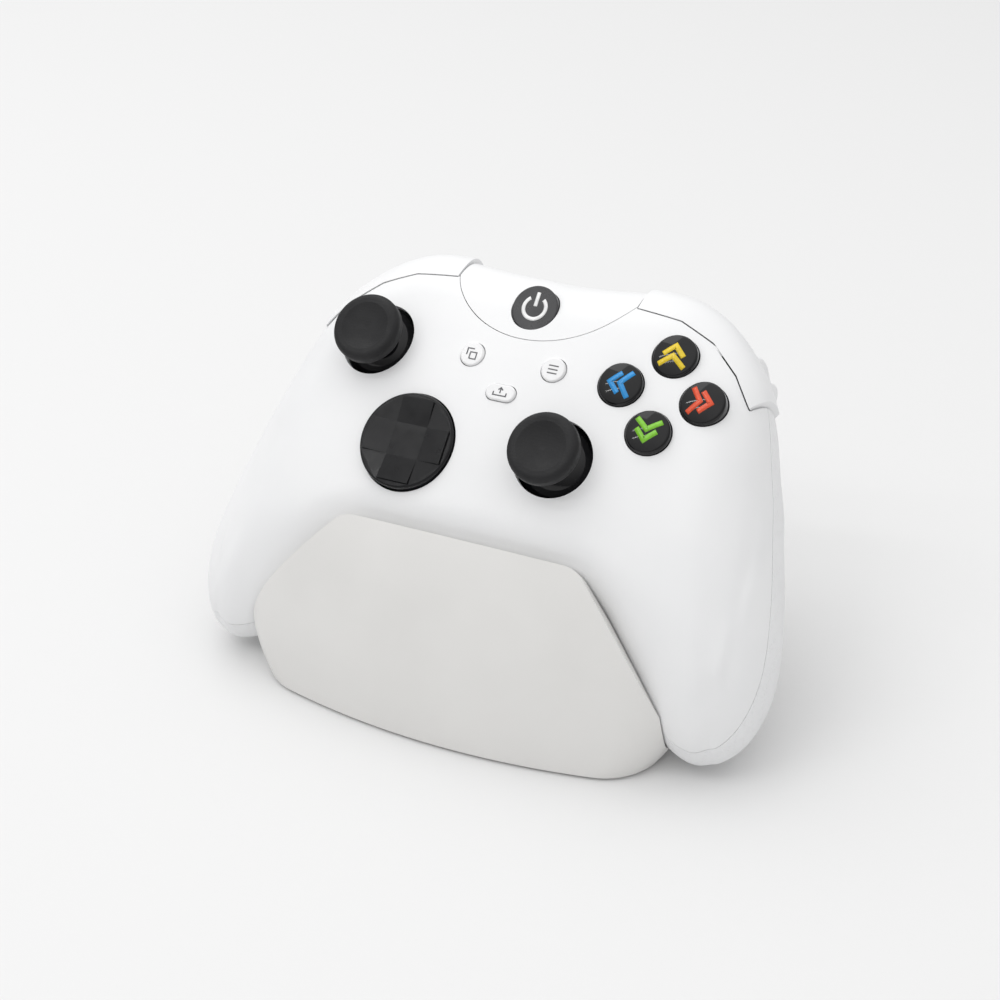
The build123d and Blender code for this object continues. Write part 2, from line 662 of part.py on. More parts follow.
def trigger_rumble(side):
    x, y, z = TRIGGER_MOTOR
    half = TRIGGER_MOTOR_LENGTH / 2
    can = rod_x((y, z), TRIGGER_MOTOR_R, x - half, x + half)
    can -= rod_x((y, z), 0.6 + RUNNING_GAP, x - half - 1, x - half + 2.2)
    low = x - half - 0.8 - TRIGGER_ROTOR_THICKNESS
    weight = rod_x((y, z), TRIGGER_ROTOR_R, low, low + TRIGGER_ROTOR_THICKNESS)
    weight &= slab((0, FAR), (-FAR, FAR), (-FAR, z + 0.9))
    weight += rod_x((y, z), 1.4, low, low + TRIGGER_ROTOR_THICKNESS)
    weight += rod_x((y, z), 0.6, low, x - half + 2)
    flip = (lambda s: s) if side == "right" else mirrored
    return {"trigger_motors": flip(largest(can)), f"{side}_trigger_rotor": flip(largest(weight))}


def ports():
    port = usb_port_cut(0) & slab((-10, 10), (44.0, 51.0), (-30, -10))
    port -= extrude(Plane((0, 46, -21), x_dir=(1, 0, 0), z_dir=(0, 1, 0)).location * SlotOverall(8.2, 2.5), 20)
    screws = []
    for x, y in ((60, -8), (54, 12)):
        for side in (1, -1):
            post = rod(side * x, y, 1.5, -32.0, -22.0) + rod(side * x, y, 2.7, -33.5, -32.0)
            screws.append(post)
    return {"controller_usb_port": largest(port), "case_screws": group(*screws)}


# Stand


def front_line(z):
    """Middle of the front panel at a height."""
    y, low = FRONT_CURVE_CENTRE
    return y - math.sqrt(FRONT_CURVE_R ** 2 - (z - low) ** 2)


def front_section(z, inset):
    """Horizontal outline of the front block at a height."""
    share = min(z / 47.0, 1.0)
    bend = (1 - share) / FRONT_RADIUS[0] + share / FRONT_RADIUS[1]
    radius = 1 / bend
    narrow, wide = FRONT_HALF_WIDTH
    width = wide - (wide - narrow) * max(1 - z / FRONT_FLARE_HEIGHT, 0) ** 2 - inset
    rear = width - FRONT_TAPER
    front = front_line(z) + inset
    side = front + radius - math.sqrt(radius ** 2 - width ** 2)
    face = face_of(
        ThreePointArc((-width, side), (0, front), (width, side)),
        Polyline((width, side), (rear, FRONT_REAR_Y), (-rear, FRONT_REAR_Y), (-width, side)),
    )
    corners = [v for v in face.vertices() if abs(v.Y - side) < 0.01]
    return fillet(corners, FRONT_CORNER - inset).face().outer_wire().moved(Pos(0, 0, z))


def panel_zone(inset):
    """The notch between the grips, as a prism square to the controller's face."""
    x, y = PANEL_TOP_X, PANEL_TOP_Y
    (mx, my), (ex, ey), (fx, fy) = PANEL_SIDE
    right = [ThreePointArc((x, y), (mx, my), (ex, ey)), Line((ex, ey), (fx, fy))]
    left = [ThreePointArc((-ex, ey), (-mx, my), (-x, y)), Line((-fx, fy), (-ex, ey))]
    floor = Polyline((fx, fy), (fx, -130), (-fx, -130), (-fx, fy))
    face = face_of(Line((-x, y), (x, y)), *right, floor, *left)
    tops = [v for v in face.vertices() if abs(v.Y - y) < 0.01]
    face = fillet(tops, PANEL_TOP_CORNER)
    if inset:
        face = offset(face, -inset)
    return PLACE * extrude(Pos(0, 0, -100) * face, 140)


def rear_block(inset, low):
    """Block behind the split line that carries the controller's back."""
    (wide, narrow), (near, far) = REAR_HALF_WIDTH, REAR_Y
    points = [(wide, near), (narrow, far), (-narrow, far), (-wide, near)]
    face = make_face(Polyline(*points, close=True))
    face = fillet([v for v in face.vertices() if v.Y > 0], REAR_CORNER)
    if inset:
        face = offset(face, -inset)
    return extrude(Pos(0, 0, low) * face, REAR_TOP - low - inset)


def stand_block(inset):
    """The stand before it is cut to fit the controller; insets run on below the bottom edge."""
    levels = FRONT_LEVELS if inset == 0 else [STAND_BOTTOM - BELOW] + FRONT_LEVELS
    front = Solid.make_loft([front_section(z, inset) for z in levels]) & panel_zone(inset)
    return front + rear_block(inset, levels[0])


def contact_place(side, z):
    return PLACE * Pos(side * CONTACT_X, CONTACT_Y, z)


def stand(clear_outer, clear_inner):
    outside = largest(stand_block(0) - PLACE * clear_outer)
    inside = largest(stand_block(STAND_WALL) - PLACE * clear_inner)
    shell = outside - inside
    block_low = BACK_FLAT_Z - DOCK_GAP
    block = PLACE * slab((-11, 11), (CONTACT_Y - 4, CONTACT_Y + 4), (block_low - 6, block_low))
    shell -= PLACE * slab((-11.15, 11.15), (CONTACT_Y - 4.15, CONTACT_Y + 4.15), (block_low - 12, block_low + 1))
    for side in (1, -1):
        block -= contact_place(side, 0) * rod(0, 0, 1.2 + RUNNING_GAP, block_low - 4.5, block_low + 1)
    pins = [contact_place(side, 0) * (rod(0, 0, 0.8, block_low - 3, BACK_FLAT_Z - 0.05)
                                      + rod(0, 0, 1.2, block_low - 3.6, block_low - 0.9))
            for side in (1, -1)]
    socket = Plane((0, REAR_Y[1] + 1, 10.0), x_dir=(1, 0, 0), z_dir=(0, -1, 0)).location
    shell -= extrude(socket * SlotOverall(9.4, 3.7), 6)
    panel = shell & slab((-FAR, FAR), (-FAR, STAND_SPLIT_Y - SEAM_GAP / 2), (-5, FAR))
    housing = shell & slab((-FAR, FAR), (STAND_SPLIT_Y + SEAM_GAP / 2, FAR), (-5, FAR))

    plate = largest(stand_block(STAND_WALL + PLATE_GAP) - PLACE * clear_inner)
    plate &= slab((-FAR, FAR), (-FAR, FAR), (PLATE_BOTTOM, PLATE_BOTTOM + PLATE_THICKNESS))
    pad = stand_block(STAND_WALL + PAD_INSET) & slab((-FAR, FAR), (-FAR, FAR), (-PLATE_BOTTOM, 0))
    pad = Pos(0, 0, PLATE_BOTTOM) * largest(pad)
    screws = []
    for x, y in ((40, -17), (33, 30)):
        for side in (1, -1):
            screw = rod(side * x, y, 1.4, 1.2, 8.0) + rod(side * x, y, 2.6, 0.9, 2.2)
            plate -= rod(side * x, y, 1.45, 0, 9) + rod(side * x, y, 2.7, 0, 2.3)
            pad -= rod(side * x, y, 2.9, -1, 3)
            screws.append(screw)
    port = extrude(socket * SlotOverall(8.9, 3.2), 8) & slab((-20, 20), (0, REAR_Y[1] - 0.4), (0, 30))
    port -= extrude(socket * SlotOverall(8.1, 2.4), 7)
    board = slab((-18, 18), (8, 33.6), (6.7, 8.2))
    ballast = slab((-34, 34), (-24, 3), (3.2, 5.4))
    return {
        "stand_front_panel": largest(panel), "stand_rear_housing": largest(housing),
        "stand_base_plate": largest(plate), "stand_foot_pad": largest(pad),
        "stand_screws": group(*screws), "stand_usb_port": largest(port),
        "stand_circuit_board": board, "stand_ballast": ballast,
        "charging_pin_block": largest(block), "left_charging_pin": largest(pins[1]),
        "right_charging_pin": largest(pins[0]),
    }


def main():
    os.makedirs("parts", exist_ok=True)
    outer = controller_body(0)
    inner = controller_body(WALL)
    controller = {}
    controller.update(shells(outer, inner))
    controller.update(bumpers(controller_body(-BUMPER_PROUD, 0), controller_body(1.1, WALL)))
    controller.update(triggers())
    controller.update(buttons())
    controller.update(dpad())
    controller.update(stick(LEFT_STICK, "left"))
    controller.update(stick(RIGHT_STICK, "right"))
    controller.update(boards(inner))
    controller.update(battery())
    controller.update(ports())
    for side, thickness in zip(("left", "right"), ROTOR_THICKNESS):
        for name, shape in {**rumble(side, thickness), **trigger_rumble(side)}.items():
            controller[name] = group(controller[name], shape) if name in controller else shape
    nodes = {name: PLACE * shape for name, shape in controller.items()}
    nodes.update(stand(controller_body(-DOCK_GAP), controller_body(-DOCK_GAP - STAND_WALL)))
    for name, shape in nodes.items():
        export_step(shape, os.path.join("parts", f"{name}.step"))


main()
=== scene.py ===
"""Looks for a white wireless game controller docked on its charging stand.

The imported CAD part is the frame.  This script gives every node a procedural finish, adds the
printed symbols on the buttons, and sets up the floor, the lights and the camera.
"""

import json
import math

import bmesh
import bpy
from mathutils import Matrix, Vector
from mathutils.bvhtree import BVHTree

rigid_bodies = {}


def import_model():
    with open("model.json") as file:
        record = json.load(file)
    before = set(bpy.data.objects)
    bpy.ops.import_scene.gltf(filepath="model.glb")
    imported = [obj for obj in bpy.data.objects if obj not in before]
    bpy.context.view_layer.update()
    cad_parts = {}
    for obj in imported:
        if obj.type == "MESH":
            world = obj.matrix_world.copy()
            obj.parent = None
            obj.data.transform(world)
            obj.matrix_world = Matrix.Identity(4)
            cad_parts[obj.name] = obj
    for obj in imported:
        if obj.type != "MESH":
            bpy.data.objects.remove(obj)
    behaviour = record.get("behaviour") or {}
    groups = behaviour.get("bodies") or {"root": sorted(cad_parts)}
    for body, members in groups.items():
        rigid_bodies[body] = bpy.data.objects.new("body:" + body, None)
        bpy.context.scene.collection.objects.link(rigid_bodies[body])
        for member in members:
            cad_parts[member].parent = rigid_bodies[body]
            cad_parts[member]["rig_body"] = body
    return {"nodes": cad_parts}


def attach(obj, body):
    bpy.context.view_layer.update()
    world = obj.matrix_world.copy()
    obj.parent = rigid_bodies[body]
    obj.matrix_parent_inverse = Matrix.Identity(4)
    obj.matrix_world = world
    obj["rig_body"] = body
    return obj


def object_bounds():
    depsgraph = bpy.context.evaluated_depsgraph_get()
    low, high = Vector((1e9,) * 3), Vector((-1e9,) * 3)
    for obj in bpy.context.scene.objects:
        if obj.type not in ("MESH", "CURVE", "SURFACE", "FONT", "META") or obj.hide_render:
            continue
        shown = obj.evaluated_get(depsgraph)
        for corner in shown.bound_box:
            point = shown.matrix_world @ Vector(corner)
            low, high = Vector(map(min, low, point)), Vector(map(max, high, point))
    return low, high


MM = 0.001

# The controller's face frame: X right, Y up along the face, Z out of it
FACE_ORIGIN = Vector((0.0, -6.0, 62.0)) * MM
FACE_TILT = math.radians(42.3)
FACE = Matrix.Translation(FACE_ORIGIN) @ Matrix.Rotation(FACE_TILT, 4, "X")

# Camera
CAMERA_PLACE = Vector((0.18497, -0.34060, 0.28825))
CAMERA_AIM = Vector((0.00653, -0.00880, 0.05311))
CAMERA_ROLL = math.radians(-2.88)
CAMERA_LENS = 67.25
CAMERA_SENSOR = 36.0

# Floor and light
FLOOR_SIZE = 6.0
FLOOR_DROP = 0.0002
# Painted shade: the floor's colour darkens from the near tone to the far tone towards the back,
# in place of light falling off with distance
FLOOR_NEAR = (0.80, 0.80, 0.80)
FLOOR_FAR_PAINTED_SHADE = (0.68, 0.68, 0.68)
FLOOR_PAINTED_SHADE_FADE = (-0.2, 1.3)
FLOOR_GRAIN = 1.5
FLOOR_RELIEF = 0.01
FLOOR_ROUGHNESS = 0.8
FLOOR_SQUARES = 24
SKY_HORIZON = 0.30
SKY_TOP = 1.20
KEY_PLACE = Vector((-0.75, 0.55, 1.35))
KEY_SIZE = 1.1
KEY_POWER = 5.0
STRIP_DIRECTION = Vector((-0.400, -0.458, 0.795))
STRIP_ALONG = Vector((0.892, 0.0, 0.452))
STRIP_DISTANCE = 1.2
STRIP_SIZE = (0.70, 0.014)
STRIP_SPREAD = 0.13
STRIP_POWER = 0.8

# Domed lens on each face button, in millimetres
LENS_RADIUS = 4.9
LENS_RISE = 0.75
LENS_SINK = 0.05
LENS_RINGS = 14
LENS_SPOKES = 72

# Printed symbols, in millimetres on the face
PRINT_LIFT = 0.04
PRINT_THICKNESS = 0.03
PRINT_STEP = 0.35
MITRE_LIMIT = 0.5
CAST_HEIGHT = 20.0
CHEVRON_REACHES = (3.2, 2.56)
CHEVRON_RISE = 2.5
CHEVRON_STROKE = 1.3
CHEVRON_STEPS = (-1.6, 1.0)
POWER_RADIUS = 2.9
POWER_GAP = math.radians(36.0)
POWER_STROKE = 0.95
POWER_STEPS = 48
POWER_BAR = (0.4, 4.1)
ICON_STROKE = 0.32
MENU_HALF_WIDTH = 1.25
MENU_LINES = (-0.95, 0.0, 0.95)
VIEW_SQUARE = 0.85
VIEW_SHIFT = 0.45
TRAY_HALF_WIDTH = 1.7
TRAY_DEPTH = 0.85
ARROW_FOOT = -0.2833
ARROW_HEIGHT = 1.15
ARROW_HEAD = 0.6

# Colours of the printed symbols
YELLOW = (0.85, 0.62, 0.02)
RED = (0.80, 0.09, 0.03)
GREEN = (0.22, 0.58, 0.03)
BLUE = (0.02, 0.30, 0.72)
PRINT_WHITE = (0.95, 0.95, 0.95)
PRINT_GREY = (0.16, 0.16, 0.17)

# Each finish: two tones, the size of their patches in millimetres, roughness from and to, the
# relief's pattern, pitch and height in millimetres, then how strongly it shines, and metal
FINISHES = {
    "case_white": dict(
        tones=((0.865, 0.868, 0.875), (0.885, 0.887, 0.892)), patch=22.0, rough=(0.40, 0.50),
        relief="grain", pitch=0.35, height=0.012,
    ),
    "grip_white": dict(
        tones=((0.845, 0.848, 0.856), (0.87, 0.873, 0.88)), patch=18.0, rough=(0.45, 0.56),
        relief="dots", pitch=1.15, height=0.07,
    ),
    "button_white": dict(
        tones=((0.85, 0.85, 0.855), (0.88, 0.88, 0.885)), patch=6.0, rough=(0.20, 0.27),
        relief="grain", pitch=0.5, height=0.003,
    ),
    "guide_grey": dict(
        tones=((0.045, 0.045, 0.047), (0.058, 0.058, 0.061)), patch=5.0, rough=(0.26, 0.36),
        relief="grain", pitch=0.4, height=0.004, shine=0.3,
    ),
    "button_black": dict(
        tones=((0.006, 0.006, 0.007), (0.010, 0.010, 0.011)), patch=6.0, rough=(0.05, 0.09),
        relief="grain", pitch=2.5, height=0.002, shine=0.36,
    ),
    "dpad_black": dict(
        tones=((0.006, 0.006, 0.007), (0.010, 0.010, 0.011)), patch=8.0, rough=(0.16, 0.24),
        relief="grain", pitch=1.5, height=0.003, shine=0.22,
    ),
    "dome_black": dict(
        tones=((0.005, 0.005, 0.006), (0.009, 0.009, 0.010)), patch=8.0, rough=(0.06, 0.10),
        relief="grain", pitch=2.5, height=0.002, shine=0.36,
    ),
    "cap_rubber": dict(
        tones=((0.011, 0.011, 0.012), (0.017, 0.017, 0.018)), patch=5.0, rough=(0.52, 0.66),
        relief="dots", pitch=0.55, height=0.03, shine=0.3,
    ),
    "inner_plastic": dict(
        tones=((0.10, 0.10, 0.11), (0.13, 0.13, 0.14)), patch=9.0, rough=(0.45, 0.6),
        relief="grain", pitch=0.4, height=0.015,
    ),
    "switch_metal": dict(
        tones=((0.52, 0.52, 0.54), (0.64, 0.64, 0.66)), patch=3.0, rough=(0.28, 0.42),
        relief="brushed", pitch=0.3, height=0.006, metal=1.0,
    ),
    "membrane_rubber": dict(
        tones=((0.26, 0.26, 0.28), (0.32, 0.32, 0.34)), patch=7.0, rough=(0.6, 0.75),
        relief="grain", pitch=0.5, height=0.02,
    ),
    "board_green": dict(
        tones=((0.015, 0.13, 0.05), (0.04, 0.24, 0.10)), patch=2.2, rough=(0.25, 0.42),
        relief="tracks", pitch=1.6, height=0.02,
    ),
    "battery_black": dict(
        tones=((0.040, 0.041, 0.05), (0.055, 0.056, 0.065)), patch=12.0, rough=(0.25, 0.4),
        relief="grain", pitch=3.0, height=0.02,
    ),
    "contact_brass": dict(
        tones=((0.74, 0.53, 0.20), (0.84, 0.64, 0.29)), patch=1.5, rough=(0.18, 0.32),
        relief="brushed", pitch=0.25, height=0.004, metal=1.0,
    ),
    "steel": dict(
        tones=((0.56, 0.56, 0.58), (0.68, 0.68, 0.70)), patch=2.5, rough=(0.22, 0.36),
        relief="brushed", pitch=0.3, height=0.005, metal=1.0,
    ),
    "stand_white": dict(
        tones=((0.765, 0.757, 0.74), (0.795, 0.787, 0.77)), patch=30.0, rough=(0.36, 0.46),
        relief="grain", pitch=0.45, height=0.008,
    ),
    "stand_grey": dict(
        tones=((0.40, 0.40, 0.41), (0.46, 0.46, 0.47)), patch=16.0, rough=(0.5, 0.62),
        relief="grain", pitch=0.4, height=0.015,
    ),
    "foot_rubber": dict(
        tones=((0.03, 0.03, 0.032), (0.045, 0.045, 0.047)), patch=6.0, rough=(0.65, 0.8),
        relief="dots", pitch=1.5, height=0.06,
    ),
}

# How the finishes' patterns are drawn
NOISE_MIDDLE = (0.3, 0.7)
NOISE_DETAIL = 3.0
SMUDGE_DETAIL = 5.0
SMUDGE_SHARE = 0.5
DOT_EDGE = (0.45, 0.15)
DOT_SCATTER = 0.35
BRUSH_STRETCH = 0.06
INK_SHADE = 0.85


# Materials


def node(tree, kind, **settings):
    """A new shader node with its properties set."""
    made = tree.nodes.new(kind)
    for name, value in settings.items():
        setattr(made, name, value)
    return made


def noise(tree, place, size_mm, detail=NOISE_DETAIL):
    """Noise whose patches are about size_mm across."""
    made = node(tree, "ShaderNodeTexNoise")
    made.inputs["Scale"].default_value = 1.0 / (size_mm * MM)
    made.inputs["Detail"].default_value = detail
    tree.links.new(place, made.inputs["Vector"])
    return made.outputs["Fac"]


def ranged(tree, value, start, end, low=0.0, high=1.0):
    """A value that goes from low to high, smoothly, as the given one goes from start to end."""
    made = node(tree, "ShaderNodeMapRange", interpolation_type="SMOOTHSTEP")
    made.inputs["From Min"].default_value = start
    made.inputs["From Max"].default_value = end
    made.inputs["To Min"].default_value = low
    made.inputs["To Max"].default_value = high
    tree.links.new(value, made.inputs["Value"])
    return made.outputs["Result"]


def toned(tree, share, tones):
    """The second tone mixed into the first by a share from 0 to 1."""
    ramp = node(tree, "ShaderNodeValToRGB")
    for element, tone in zip(ramp.color_ramp.elements, tones):
        element.color = (*tone, 1.0)
    tree.links.new(share, ramp.inputs["Fac"])
    return ramp.outputs["Color"]


def dots(tree, place, pitch_mm):
    """Small round bumps about pitch_mm apart."""
    cells = node(tree, "ShaderNodeTexVoronoi")
    cells.inputs["Scale"].default_value = 1.0 / (pitch_mm * MM)
    cells.inputs["Randomness"].default_value = DOT_SCATTER
    tree.links.new(place, cells.inputs["Vector"])
    return ranged(tree, cells.outputs["Distance"], *DOT_EDGE)


def brushed(tree, place, pitch_mm):
    """Fine scratches that run along X."""
    stretch = node(tree, "ShaderNodeMapping")
    stretch.inputs["Scale"].default_value = (BRUSH_STRETCH, 1.0, 1.0)
    tree.links.new(place, stretch.inputs["Vector"])
    return noise(tree, stretch.outputs["Vector"], pitch_mm)


def tracks(tree, place, pitch_mm):
    """Blocky raised tracks, as under a circuit board's solder mask."""
    cells = node(tree, "ShaderNodeTexVoronoi", distance="CHEBYCHEV", feature="F2")
    cells.inputs["Scale"].default_value = 1.0 / (pitch_mm * MM)
    tree.links.new(place, cells.inputs["Vector"])
    return cells.outputs["Distance"]


RELIEFS = {"grain": noise, "dots": dots, "brushed": brushed, "tracks": tracks}


def emboss(tree, shader, relief, height_mm):
    """Gives the shader a relief of the given height."""
    bump = node(tree, "ShaderNodeBump")
    bump.inputs["Distance"].default_value = height_mm * MM
    tree.links.new(relief, bump.inputs["Height"])
    tree.links.new(bump.outputs["Normal"], shader.inputs["Normal"])


def finish(name, tones, patch, rough, relief, pitch, height, shine=0.5, metal=0.0):
    """A procedural material made from one entry of the table of finishes."""
    material = bpy.data.materials.new(name)
    material.use_nodes = True
    tree = material.node_tree
    shader = tree.nodes["Principled BSDF"]
    shader.inputs["Metallic"].default_value = metal
    shader.inputs["Specular IOR Level"].default_value = shine
    place = node(tree, "ShaderNodeTexCoord").outputs["Object"]
    patches = noise(tree, place, patch)
    colour = toned(tree, ranged(tree, patches, *NOISE_MIDDLE), tones)
    tree.links.new(colour, shader.inputs["Base Color"])
    smudges = noise(tree, place, patch * SMUDGE_SHARE, SMUDGE_DETAIL)
    tree.links.new(ranged(tree, smudges, *NOISE_MIDDLE, *rough), shader.inputs["Roughness"])
    emboss(tree, shader, RELIEFS[relief](tree, place, pitch), height)
    return material


def print_finish(name, colour):
    """Glossy ink with a slightly uneven tone."""
    dark = tuple(INK_SHADE * part for part in colour)
    return finish(
        name, tones=(dark, colour), patch=2.0, rough=(0.15, 0.28), relief="grain", pitch=0.6,
        height=0.004,
    )


def floor_finish():
    """Matt pale paper with painted shade: its colour is a little darker far away, in place of
    light that falls off towards the back.
    """
    material = bpy.data.materials.new("floor")
    material.use_nodes = True
    tree = material.node_tree
    shader = tree.nodes["Principled BSDF"]
    shader.inputs["Roughness"].default_value = FLOOR_ROUGHNESS
    shader.inputs["Specular IOR Level"].default_value = 0.0
    place = node(tree, "ShaderNodeTexCoord").outputs["Object"]
    parts = node(tree, "ShaderNodeSeparateXYZ")
    tree.links.new(place, parts.inputs["Vector"])
    # painted shade: the share of the darker far tone grows towards the back of the floor
    share = ranged(tree, parts.outputs["Y"], *FLOOR_PAINTED_SHADE_FADE)
    tree.links.new(toned(tree, share, (FLOOR_NEAR, FLOOR_FAR_PAINTED_SHADE)), shader.inputs["Base Color"])
    emboss(tree, shader, noise(tree, place, FLOOR_GRAIN), FLOOR_RELIEF)
    return material


def dress(nodes, finishes):
    """Gives every CAD node the finish of its material slot."""
    for part in nodes.values():
        for held in part.material_slots:
            held.material = finishes[held.material.name.split(".")[0]]


# Printed symbols


def face_box(part):
    """Lowest and highest corner of a CAD node in the face frame, in millimetres."""
    to_face = FACE.inverted()
    corners = [to_face @ vertex.co / MM for vertex in part.data.vertices]
    low = Vector(min(corner[axis] for corner in corners) for axis in range(3))
    high = Vector(max(corner[axis] for corner in corners) for axis in range(3))
    return low, high


def surface_of(part):
    """The node's surface as a tree that can be cast against."""
    mesh = part.data
    points = [vertex.co for vertex in mesh.vertices]
    return BVHTree.FromPolygons(points, [tuple(face.vertices) for face in mesh.polygons])


def evenly(line):
    """The line's points with more between them, no further apart than the print step."""
    points = []
    for start, end in zip(line, line[1:]):
        count = max(1, math.ceil((end - start).length / PRINT_STEP))
        points += [start.lerp(end, step / count) for step in range(count)]
    return points + [line[-1]]


def sideways(points, index):
    """Unit vector across the line at one of its points, lengthened to mitre a corner."""
    before = points[index] - points[max(index - 1, 0)]
    after = points[min(index + 1, len(points) - 1)] - points[index]
    parts = [step.normalized() for step in (before, after) if step.length > 0]
    along = sum(parts, Vector((0.0, 0.0))).normalized()
    across = Vector((-along.y, along.x))
    return across / max(MITRE_LIMIT, along.dot(parts[0]))


def ribbon(mesh, line, stroke):
    """Adds a flat ribbon along a line to the mesh, three points wide."""
    points = evenly(line)
    rows = []
    for index, point in enumerate(points):
        across = sideways(points, index) * stroke / 2.0
        rows.append([mesh.verts.new((*(point + across * side), 0.0)) for side in (-1, 0, 1)])
    for row, following in zip(rows, rows[1:]):
        for side in range(2):
            mesh.faces.new((row[side], following[side], following[side + 1], row[side + 1]))


def lay_on(mesh, centre, surface):
    """Drops the flat mesh onto the surface below it, along the face's normal."""
    down = FACE.to_3x3() @ Vector((0.0, 0.0, -1.0))
    for vertex in mesh.verts:
        above = FACE @ ((centre + vertex.co + Vector((0.0, 0.0, CAST_HEIGHT))) * MM)
        hit = surface.ray_cast(above, down)[0]
        if hit is None:
            raise ValueError("a printed symbol overhangs its button")
        vertex.co = hit - down * PRINT_LIFT * MM


def shown(name, mesh, material, body):
    """A smooth new piece from a mesh, which moves with a body."""
    data = bpy.data.meshes.new(name)
    mesh.to_mesh(data)
    mesh.free()
    made = bpy.data.objects.new(name, data)
    bpy.context.scene.collection.objects.link(made)
    data.materials.append(material)
    for polygon in data.polygons:
        polygon.use_smooth = True
    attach(made, body)
    return made


def lens(name, part, material):
    """A shallow glossy dome on the top of a face button."""
    low, high = face_box(part)
    centre = Vector(((low.x + high.x) / 2.0, (low.y + high.y) / 2.0, high.z - LENS_SINK))
    mesh = bmesh.new()
    crown = mesh.verts.new(FACE @ ((centre + Vector((0.0, 0.0, LENS_RISE))) * MM))
    inner = [crown] * LENS_SPOKES
    for ring in range(1, LENS_RINGS + 1):
        share = ring / LENS_RINGS
        outer = []
        for spoke in range(LENS_SPOKES):
            angle = 2.0 * math.pi * spoke / LENS_SPOKES
            out = Vector((math.cos(angle), math.sin(angle), 0.0)) * LENS_RADIUS * share
            rise = Vector((0.0, 0.0, LENS_RISE * (1.0 - share ** 2)))
            outer.append(mesh.verts.new(FACE @ ((centre + out + rise) * MM)))
        for spoke in range(LENS_SPOKES):
            after = (spoke + 1) % LENS_SPOKES
            corners = [inner[spoke], outer[spoke], outer[after], inner[after]]
            mesh.faces.new(corners[:3] if ring == 1 else corners)
        inner = outer
    return shown(name, mesh, material, part["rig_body"])


def symbol(name, part, body, lines, stroke, material):
    """A printed symbol that lies on a button and moves with it."""
    low, high = face_box(part)
    centre = Vector(((low.x + high.x) / 2.0, (low.y + high.y) / 2.0, 0.0))
    flat = bmesh.new()
    for line in lines:
        ribbon(flat, [Vector(point) for point in line], stroke)
    lay_on(flat, centre, surface_of(part))
    made = shown(name, flat, material, body)
    thicken = made.modifiers.new("thickness", "SOLIDIFY")
    thicken.thickness = PRINT_THICKNESS * MM


def turned(line, angle):
    """The line turned about the symbol's centre."""
    turn = Matrix.Rotation(angle, 2)
    return [turn @ Vector(point) for point in line]


def chevrons(angle):
    """Two nested chevrons that point up, turned by angle."""
    lines = []
    for reach, step in zip(CHEVRON_REACHES, CHEVRON_STEPS):
        foot = step - CHEVRON_RISE / 2
        tip = step + CHEVRON_RISE / 2
        lines.append(turned([(-reach, foot), (0.0, tip), (reach, foot)], angle))
    return lines


def power_symbol():
    """A ring that is open at the top, with a bar through the gap."""
    ring = []
    for step in range(POWER_STEPS + 1):
        angle = POWER_GAP + (2 * math.pi - 2 * POWER_GAP) * step / POWER_STEPS
        ring.append((POWER_RADIUS * math.sin(angle), POWER_RADIUS * math.cos(angle)))
    return [ring, [(0.0, POWER_BAR[0]), (0.0, POWER_BAR[1])]]


def menu_lines():
    """Three short lines, one above the other."""
    return [[(-MENU_HALF_WIDTH, height), (MENU_HALF_WIDTH, height)] for height in MENU_LINES]


def square_at(x, y):
    """A closed square about a point."""
    corners = ((-1, -1), (1, -1), (1, 1), (-1, 1), (-1, -1))
    return [(x + VIEW_SQUARE * across, y + VIEW_SQUARE * up) for across, up in corners]


def view_squares():
    """A square in front of the corner of another."""
    behind = square_at(-VIEW_SHIFT, VIEW_SHIFT)
    return [square_at(VIEW_SHIFT, -VIEW_SHIFT), behind[2:]]


def share_tray():
    """An arrow that rises out of a tray."""
    tray = [(-TRAY_HALF_WIDTH, 0.0), (-TRAY_HALF_WIDTH, -TRAY_DEPTH)]
    tray += [(TRAY_HALF_WIDTH, -TRAY_DEPTH), (TRAY_HALF_WIDTH, 0.0)]
    shaft = [(0.0, ARROW_FOOT), (0.0, ARROW_HEIGHT)]
    head = [(-ARROW_HEAD, ARROW_HEIGHT - ARROW_HEAD), (0.0, ARROW_HEIGHT)]
    return [tray, shaft, head + [(ARROW_HEAD, ARROW_HEIGHT - ARROW_HEAD)]]


def print_symbols(nodes, finishes):
    """The lenses of the face buttons, and the symbols on all the buttons of the face."""
    quarter = math.pi / 2
    coloured = (("top", 0, YELLOW), ("left", 1, BLUE), ("bottom", 2, GREEN), ("right", 3, RED))
    for side, turns, colour in coloured:
        ink = print_finish(side + "_ink", colour)
        button = side + "_button"
        dome = lens(side + "_lens", nodes[button], finishes["button_black"])
        arrows = chevrons(turns * quarter)
        symbol(side + "_symbol", dome, button, arrows, CHEVRON_STROKE, ink)
    white = print_finish("white_ink", PRINT_WHITE)
    guide = nodes["guide_button"]
    symbol("power_symbol", guide, "guide_button", power_symbol(), POWER_STROKE, white)
    grey = print_finish("grey_ink", PRINT_GREY)
    icons = (("menu", menu_lines()), ("view", view_squares()), ("share", share_tray()))
    for use, lines in icons:
        button = use + "_button"
        symbol(use + "_symbol", nodes[button], button, lines, ICON_STROKE, grey)


# Stage


def floor():
    """A wide pale floor just under the foot pad."""
    mesh = bmesh.new()
    squares = {"x_segments": FLOOR_SQUARES, "y_segments": FLOOR_SQUARES}
    bmesh.ops.create_grid(mesh, size=FLOOR_SIZE / 2, **squares)
    data = bpy.data.meshes.new("floor")
    mesh.to_mesh(data)
    mesh.free()
    made = bpy.data.objects.new("floor", data)
    made.location.z = -FLOOR_DROP
    bpy.context.scene.collection.objects.link(made)
    data.materials.append(floor_finish())


def aimed(direction):
    """Rotation that points an object's -Z along a direction."""
    return direction.to_track_quat("-Z", "Y")


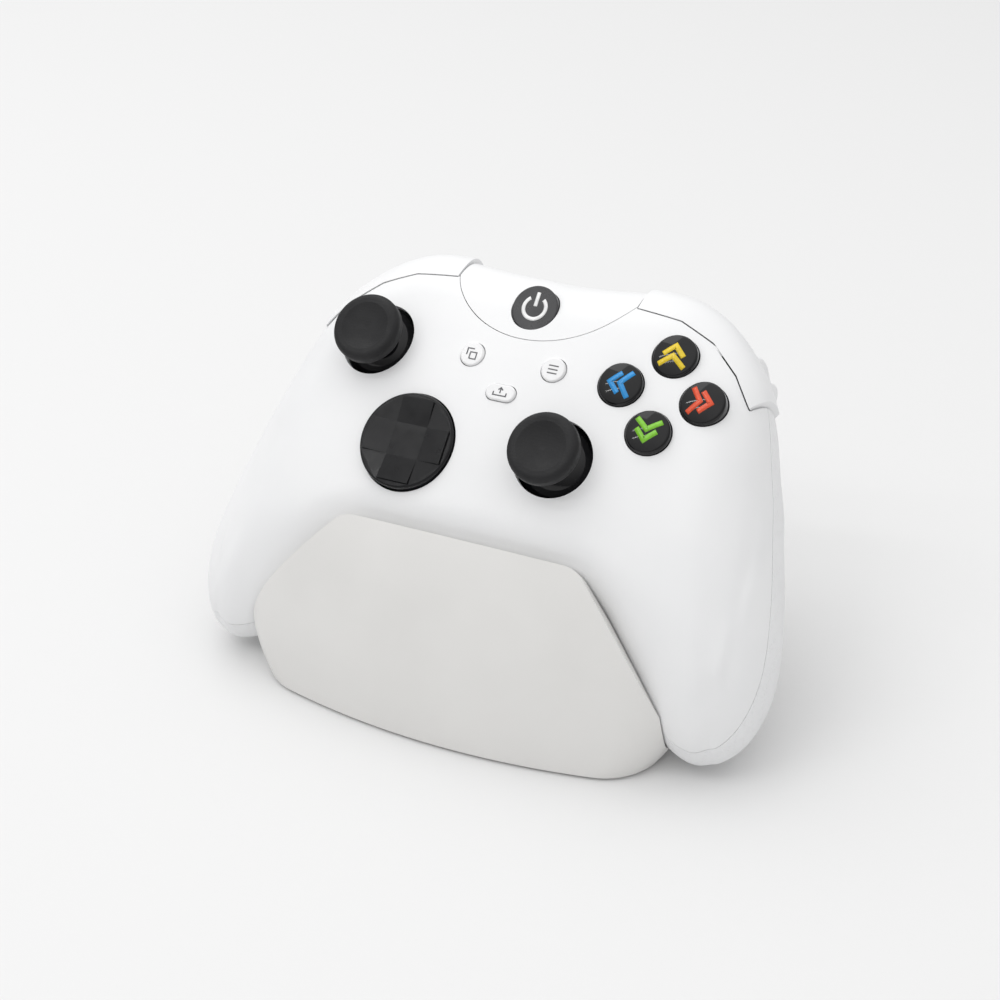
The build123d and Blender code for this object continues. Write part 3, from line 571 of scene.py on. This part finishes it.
def area_light(name, place, target, size, power):
    """A soft rectangular light that faces the target."""
    data = bpy.data.lights.new(name, "AREA")
    data.shape = "RECTANGLE"
    data.size, data.size_y = size
    data.energy = power
    made = bpy.data.objects.new(name, data)
    made.location = place
    made.rotation_mode = "QUATERNION"
    made.rotation_quaternion = aimed(target - place)
    bpy.context.scene.collection.objects.link(made)
    return made


def strip_lights(target):
    """Two narrow lights side by side, which draw the paired streaks on the gloss."""
    towards = STRIP_DIRECTION.normalized()
    along = (STRIP_ALONG - towards * STRIP_ALONG.dot(towards)).normalized()
    across = towards.cross(along)
    for index, side in enumerate((-1, 1)):
        place = target + towards * STRIP_DISTANCE + across * side * STRIP_SPREAD
        light = area_light(f"strip_{index}", place, target, STRIP_SIZE, STRIP_POWER)
        light.rotation_quaternion = Matrix((along, across, towards)).transposed().to_quaternion()


def lights(target):
    """Soft studio light: a sky that is brighter overhead, a large key light, and the strips."""
    world = bpy.data.worlds.new("sky")
    world.use_nodes = True
    tree = world.node_tree
    background = tree.nodes["Background"]
    background.inputs["Color"].default_value = (1.0, 1.0, 1.0, 1.0)
    parts = node(tree, "ShaderNodeSeparateXYZ")
    tree.links.new(node(tree, "ShaderNodeTexCoord").outputs["Generated"], parts.inputs["Vector"])
    strength = ranged(tree, parts.outputs["Z"], 0.0, 1.0, SKY_HORIZON, SKY_TOP)
    tree.links.new(strength, background.inputs["Strength"])
    bpy.context.scene.world = world
    area_light("key", KEY_PLACE, target, (KEY_SIZE, KEY_SIZE), KEY_POWER)
    strip_lights(target)


def camera():
    """The camera, at the photograph's viewing angle."""
    data = bpy.data.cameras.new("camera")
    data.lens = CAMERA_LENS
    data.sensor_width = CAMERA_SENSOR
    made = bpy.data.objects.new("camera", data)
    made.location = CAMERA_PLACE
    level = aimed(CAMERA_AIM - CAMERA_PLACE).to_matrix()
    made.rotation_euler = (level @ Matrix.Rotation(CAMERA_ROLL, 3, "Z")).to_euler()
    bpy.context.scene.collection.objects.link(made)
    bpy.context.scene.camera = made


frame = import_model()
cad_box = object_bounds()
finishes = {name: finish(name, **look) for name, look in FINISHES.items()}
dress(frame["nodes"], finishes)
print_symbols(frame["nodes"], finishes)
floor()
lights((cad_box[0] + cad_box[1]) / 2)
camera()
bpy.context.scene.view_settings.view_transform = "Standard"
